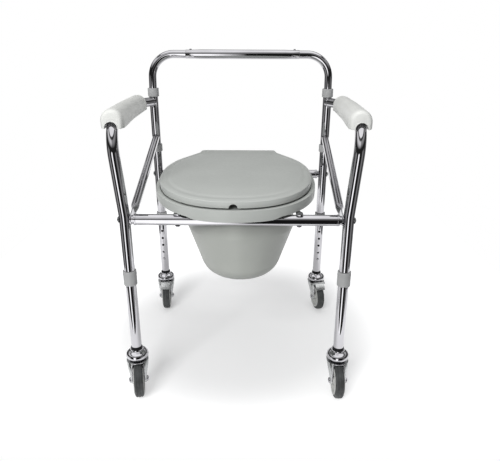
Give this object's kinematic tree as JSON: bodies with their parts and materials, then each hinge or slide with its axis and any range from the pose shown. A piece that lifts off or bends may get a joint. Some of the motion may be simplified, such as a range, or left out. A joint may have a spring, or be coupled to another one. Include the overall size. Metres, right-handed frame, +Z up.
{
  "type": "wheeled commode chair",
  "caption": "Chromed tube commode chair on swivel casters, with a hinged-lid seat ring, arm pads, a removable pail and telescopic legs.",
  "frame": {"origin": "on the floor under the middle of the chair's bounding box", "axes": "+Z up, -Y the way the chair faces, +X towards the right side seen from the front"},
  "size_m": [0.612, 0.5302, 0.8182],
  "materials": {
    "chrome": "bright chrome plating",
    "grey_plastic": "satin moulded plastic",
    "seat_plastic": "smooth moulded plastic",
    "pad_plastic": "satin moulded plastic",
    "tyre_rubber": "matt rubber",
    "black_plastic": "matt moulded plastic"
  },
  "bodies": {
    "frame": {"back_cross_tube": "chrome", "back_left_bend": "chrome", "back_right_bend": "chrome", "front_crossbar": "chrome", "front_left_crossbar_bolt": "chrome", "front_right_crossbar_bolt": "chrome", "left_arm_pad": "pad_plastic", "left_brace": "chrome", "left_lower_collar": "grey_plastic", "left_rear_upright": "chrome", "left_seat_rail": "chrome", "left_side_frame": "chrome", "left_upper_collar": "grey_plastic", "rear_crossbar": "chrome", "rear_left_crossbar_bolt": "chrome", "rear_right_crossbar_bolt": "chrome", "right_arm_pad": "pad_plastic", "right_brace": "chrome", "right_lower_collar": "grey_plastic", "right_rear_upright": "chrome", "right_seat_rail": "chrome", "right_side_frame": "chrome", "right_upper_collar": "grey_plastic"},
    "seat": {"seat_ring": "seat_plastic"},
    "lid": {"seat_lid": "seat_plastic"},
    "pail": {"pail": "seat_plastic"},
    "front_left_leg": {"front_left_caster_housing": "chrome", "front_left_caster_plug": "black_plastic", "front_left_leg_collar": "grey_plastic", "front_left_lower_leg": "chrome"},
    "front_left_button": {"front_left_snap_button": "chrome"},
    "front_left_fork": {"front_left_caster_fork": "chrome"},
    "front_left_wheel": {"front_left_tyre": "tyre_rubber", "front_left_wheel_hub": "grey_plastic"},
    "front_right_leg": {"front_right_caster_housing": "chrome", "front_right_caster_plug": "black_plastic", "front_right_leg_collar": "grey_plastic", "front_right_lower_leg": "chrome"},
    "front_right_button": {"front_right_snap_button": "chrome"},
    "front_right_fork": {"front_right_caster_fork": "chrome"},
    "front_right_wheel": {"front_right_tyre": "tyre_rubber", "front_right_wheel_hub": "grey_plastic"},
    "rear_left_leg": {"rear_left_caster_housing": "chrome", "rear_left_caster_plug": "black_plastic", "rear_left_leg_collar": "grey_plastic", "rear_left_lower_leg": "chrome"},
    "rear_left_button": {"rear_left_snap_button": "chrome"},
    "rear_left_fork": {"rear_left_caster_fork": "chrome"},
    "rear_left_wheel": {"rear_left_tyre": "tyre_rubber", "rear_left_wheel_hub": "grey_plastic"},
    "rear_left_pedal": {"rear_left_brake_pedal": "chrome"},
    "rear_right_leg": {"rear_right_caster_housing": "chrome", "rear_right_caster_plug": "black_plastic", "rear_right_leg_collar": "grey_plastic", "rear_right_lower_leg": "chrome"},
    "rear_right_button": {"rear_right_snap_button": "chrome"},
    "rear_right_fork": {"rear_right_caster_fork": "chrome"},
    "rear_right_wheel": {"rear_right_tyre": "tyre_rubber", "rear_right_wheel_hub": "grey_plastic"},
    "rear_right_pedal": {"rear_right_brake_pedal": "chrome"}
  },
  "joints": [
    {"name": "lid_hinge", "type": "hinge", "parent": "seat", "child": "lid", "pos_m": [-0.006, 0.21649, 0.51926], "axis": [-1, 0, 0], "range_deg": [0, 86]},
    {"name": "seat_lift", "type": "hinge", "parent": "frame", "child": "seat", "pos_m": [0, 0.23039, 0.45904], "axis": [1, 0, 0], "range_deg": [-76, 0]},
    {"name": "pail_slide", "type": "slide", "parent": "frame", "child": "pail", "axis": [0, 1, 0], "range_m": [-0.002, 0.1]},
    {"name": "front_left_leg_slide", "type": "slide", "parent": "frame", "child": "front_left_leg", "axis": [0, 0, -1], "range_m": [0, 0.0972], "deforming": ["front_left_snap_button"]},
    {"name": "front_left_button_press", "type": "slide", "parent": "frame", "child": "front_left_button", "axis": [0, -1, 0], "range_m": [0, 0.0035], "stiffness_N_per_m": 800},
    {"name": "front_left_caster_swivel", "type": "hinge", "parent": "front_left_leg", "child": "front_left_fork", "pos_m": [-0.2505, -0.19871, 0.00004], "axis": [0, 0, 1], "continuous": true},
    {"name": "front_left_wheel_spin", "type": "hinge", "parent": "front_left_fork", "child": "front_left_wheel", "pos_m": [-0.24584, -0.22062, 0.04384], "axis": [0.9781, 0.2079, 0], "continuous": true},
    {"name": "front_right_leg_slide", "type": "slide", "parent": "frame", "child": "front_right_leg", "axis": [0, 0, -1], "range_m": [0, 0.0972], "deforming": ["front_right_snap_button"]},
    {"name": "front_right_button_press", "type": "slide", "parent": "frame", "child": "front_right_button", "axis": [0, -1, 0], "range_m": [0, 0.0035], "stiffness_N_per_m": 800},
    {"name": "front_right_caster_swivel", "type": "hinge", "parent": "front_right_leg", "child": "front_right_fork", "pos_m": [0.2505, -0.19871, 0.00004], "axis": [0, 0, 1], "continuous": true},
    {"name": "front_right_wheel_spin", "type": "hinge", "parent": "front_right_fork", "child": "front_right_wheel", "pos_m": [0.2505, -0.22111, 0.04384], "axis": [1, 0, 0], "continuous": true},
    {"name": "rear_left_leg_slide", "type": "slide", "parent": "frame", "child": "rear_left_leg", "axis": [0, 0.025, -0.9997], "range_m": [0, 0.0972], "deforming": ["rear_left_snap_button"]},
    {"name": "rear_left_button_press", "type": "slide", "parent": "frame", "child": "rear_left_button", "axis": [0, 0.9997, 0.025], "range_m": [0, 0.0035], "stiffness_N_per_m": 800},
    {"name": "rear_left_caster_swivel", "type": "hinge", "parent": "rear_left_leg", "child": "rear_left_fork", "pos_m": [-0.2516, 0.24184, 0.00061], "axis": [0, -0.025, 0.9997], "continuous": true},
    {"name": "rear_left_wheel_spin", "type": "hinge", "parent": "rear_left_fork", "child": "rear_left_wheel", "pos_m": [-0.24926, 0.21848, 0.04384], "axis": [0.9945, 0.1045, 0.0026], "continuous": true},
    {"name": "rear_left_brake_pedal_turn", "type": "hinge", "parent": "rear_left_fork", "child": "rear_left_pedal", "pos_m": [-0.24805, 0.20564, 0.09591], "axis": [0.9945, 0.1045, 0.0026], "range_deg": [0, 5]},
    {"name": "rear_right_leg_slide", "type": "slide", "parent": "frame", "child": "rear_right_leg", "axis": [0, 0.025, -0.9997], "range_m": [0, 0.0972], "deforming": ["rear_right_snap_button"]},
    {"name": "rear_right_button_press", "type": "slide", "parent": "frame", "child": "rear_right_button", "axis": [0, 0.9997, 0.025], "range_m": [0, 0.0035], "stiffness_N_per_m": 800},
    {"name": "rear_right_caster_swivel", "type": "hinge", "parent": "rear_right_leg", "child": "rear_right_fork", "pos_m": [0.2516, 0.24184, 0.0006], "axis": [0, -0.025, 0.9997], "continuous": true},
    {"name": "rear_right_wheel_spin", "type": "hinge", "parent": "rear_right_fork", "child": "rear_right_wheel", "pos_m": [0.25626, 0.21884, 0.04384], "axis": [0.9781, 0.2078, 0.0052], "continuous": true},
    {"name": "rear_right_brake_pedal_turn", "type": "hinge", "parent": "rear_right_fork", "child": "rear_right_pedal", "pos_m": [0.25867, 0.20619, 0.09592], "axis": [0.9781, 0.2078, 0.0052], "range_deg": [0, 5]}
  ]
}
